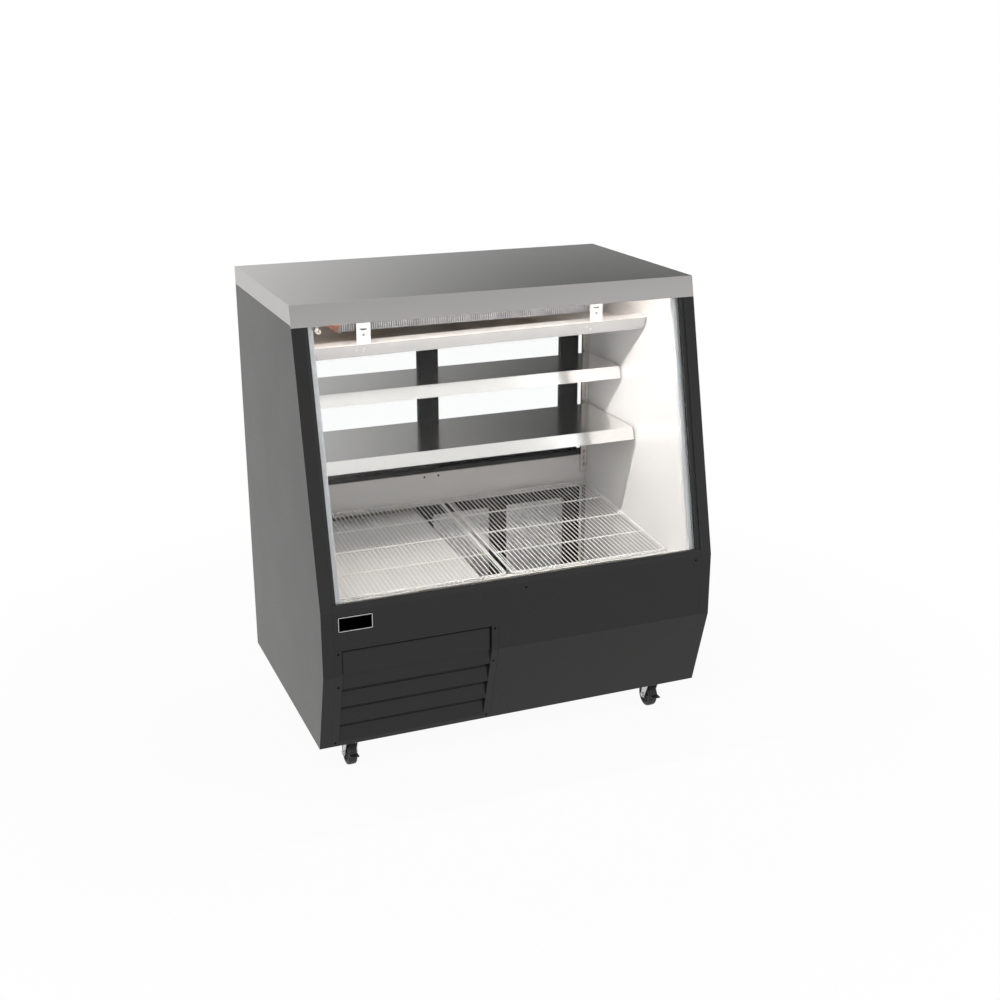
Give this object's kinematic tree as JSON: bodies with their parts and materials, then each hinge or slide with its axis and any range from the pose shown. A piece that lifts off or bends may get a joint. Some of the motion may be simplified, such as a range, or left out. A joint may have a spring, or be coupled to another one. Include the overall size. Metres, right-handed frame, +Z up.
{
  "type": "deli display case",
  "caption": "Refrigerated deli display case with raked glass front, two shelves, wire racks over a well, sliding rear doors and casters.",
  "frame": {"origin": "on the floor under the middle of the case's overall box", "axes": "+X to the right seen from the customer's side, +Y towards the server, +Z up"},
  "size_m": [1.22, 0.8642, 1.377],
  "materials": {
    "brushed_steel": "brushed",
    "counter_board": "raw",
    "black_sheet": "satin powder coat",
    "white_sheet": "gloss enamel",
    "foam": "raw foam",
    "zinc": "zinc plated",
    "steel_base": "galvanised",
    "glass": "clear",
    "spacer": "mill",
    "seal": "matte",
    "door_frame": "black anodised",
    "track": "extruded",
    "standard": "bright",
    "shelf_steel": "brushed",
    "white_wire": "coated wire",
    "fin_aluminium": "mill",
    "copper": "copper",
    "lamp": "diffuser",
    "motor_black": "gloss",
    "black_plastic": "moulded",
    "grey_plastic": "moulded",
    "tread": "satin",
    "plate_black": "gloss"
  },
  "bodies": {
    "cabinet": {"counter_top": "brushed_steel", "counter_core": "counter_board", "side_panel_left": "black_sheet", "side_panel_right": "black_sheet", "wall_foam": "foam", "side_liners": "white_sheet", "base_tray": "steel_base", "front_panel": "black_sheet", "grille_panel": "black_sheet", "cabinet_screws": "black_sheet", "name_plate": "plate_black", "front_glass_outer": "glass", "front_glass_inner": "glass", "glass_spacer": "spacer", "glass_gasket": "seal", "back_liner": "white_sheet", "rear_duct_frame": "black_sheet", "back_panel": "black_sheet", "rear_header": "black_sheet", "bottom_track": "track", "top_track": "track", "pilasters": "standard", "shelf_upper": "shelf_steel", "shelf_lower": "shelf_steel", "shelf_brackets": "shelf_steel", "rack_left": "white_wire", "rack_right": "white_wire", "rack_supports": "white_sheet", "well_tub": "white_sheet", "compressor_cover": "white_sheet", "coil_fins": "fin_aluminium", "coil_tubes": "copper", "coil_end_plates": "steel_base", "drain_pan": "white_sheet", "pan_hangers": "white_sheet", "evaporator_fan_motor": "steel_base", "led_lamp": "lamp", "compressor": "motor_black", "condenser_coil": "fin_aluminium", "condenser_fan_motor": "steel_base", "control_box": "black_plastic", "caster_plates": "zinc"},
    "rear_door_left": {"rear_door_left_frame": "door_frame", "rear_door_left_glass": "glass"},
    "rear_door_right": {"rear_door_right_frame": "door_frame", "rear_door_right_glass": "glass"},
    "evaporator_fan": {"evaporator_fan_blades": "black_plastic"},
    "condenser_fan": {"condenser_fan_blades": "grey_plastic"},
    "thermostat_knob": {"thermostat_dial": "black_plastic"},
    "lamp_switch": {"light_switch": "black_plastic"},
    "caster_front_left": {"caster_fork_front_left": "zinc"},
    "wheel_front_left": {"caster_wheel_front_left": "tread"},
    "pedal_front_left": {"brake_pedal_front_left": "black_plastic"},
    "caster_front_right": {"caster_fork_front_right": "zinc"},
    "wheel_front_right": {"caster_wheel_front_right": "tread"},
    "pedal_front_right": {"brake_pedal_front_right": "black_plastic"},
    "caster_rear_left": {"caster_fork_rear_left": "zinc"},
    "wheel_rear_left": {"caster_wheel_rear_left": "tread"},
    "caster_rear_right": {"caster_fork_rear_right": "zinc"},
    "wheel_rear_right": {"caster_wheel_rear_right": "tread"}
  },
  "joints": [
    {"name": "rear_door_left_slide", "type": "slide", "parent": "cabinet", "child": "rear_door_left", "axis": [1, 0, 0], "range_m": [0, 0.519]},
    {"name": "rear_door_right_slide", "type": "slide", "parent": "cabinet", "child": "rear_door_right", "axis": [1, 0, 0], "range_m": [-0.519, 0]},
    {"name": "evaporator_fan_spin", "type": "hinge", "parent": "cabinet", "child": "evaporator_fan", "pos_m": [0, 0.14311, 1.274], "axis": [0, 1, 0], "continuous": true},
    {"name": "condenser_fan_spin", "type": "hinge", "parent": "cabinet", "child": "condenser_fan", "pos_m": [-0.418, -0.15, 0.2298], "axis": [0, 1, 0], "continuous": true},
    {"name": "thermostat_turn", "type": "hinge", "parent": "cabinet", "child": "thermostat_knob", "pos_m": [0.498, 0.4138, 1.245], "axis": [0, 1, 0], "range_deg": [0, 270]},
    {"name": "lamp_switch_rock", "type": "hinge", "parent": "cabinet", "child": "lamp_switch", "pos_m": [0.442, 0.4078, 1.245], "axis": [1, 0, 0], "range_deg": [-8, 8]},
    {"name": "caster_swivel_front_left", "type": "hinge", "parent": "cabinet", "child": "caster_front_left", "pos_m": [-0.499, -0.29201, 0.1], "axis": [0, 0, 1], "continuous": true},
    {"name": "wheel_roll_front_left", "type": "hinge", "parent": "caster_front_left", "child": "wheel_front_left", "pos_m": [-0.499, -0.272, 0.0375], "axis": [1, 0, 0], "continuous": true},
    {"name": "brake_tip_front_left", "type": "hinge", "parent": "caster_front_left", "child": "pedal_front_left", "pos_m": [-0.499, -0.29201, 0.0755], "axis": [1, 0, 0], "range_deg": [-18, 3]},
    {"name": "caster_swivel_front_right", "type": "hinge", "parent": "cabinet", "child": "caster_front_right", "pos_m": [0.499, -0.29201, 0.1], "axis": [0, 0, 1], "continuous": true},
    {"name": "wheel_roll_front_right", "type": "hinge", "parent": "caster_front_right", "child": "wheel_front_right", "pos_m": [0.499, -0.272, 0.0375], "axis": [1, 0, 0], "continuous": true},
    {"name": "brake_tip_front_right", "type": "hinge", "parent": "caster_front_right", "child": "pedal_front_right", "pos_m": [0.499, -0.29201, 0.0755], "axis": [1, 0, 0], "range_deg": [-18, 3]},
    {"name": "caster_swivel_rear_left", "type": "hinge", "parent": "cabinet", "child": "caster_rear_left", "pos_m": [-0.499, 0.35001, 0.1], "axis": [0, 0, 1], "continuous": true},
    {"name": "wheel_roll_rear_left", "type": "hinge", "parent": "caster_rear_left", "child": "wheel_rear_left", "pos_m": [-0.499, 0.37, 0.0375], "axis": [1, 0, 0], "continuous": true},
    {"name": "caster_swivel_rear_right", "type": "hinge", "parent": "cabinet", "child": "caster_rear_right", "pos_m": [0.499, 0.35001, 0.1], "axis": [0, 0, 1], "continuous": true},
    {"name": "wheel_roll_rear_right", "type": "hinge", "parent": "caster_rear_right", "child": "wheel_rear_right", "pos_m": [0.499, 0.37, 0.0375], "axis": [1, 0, 0], "continuous": true}
  ]
}
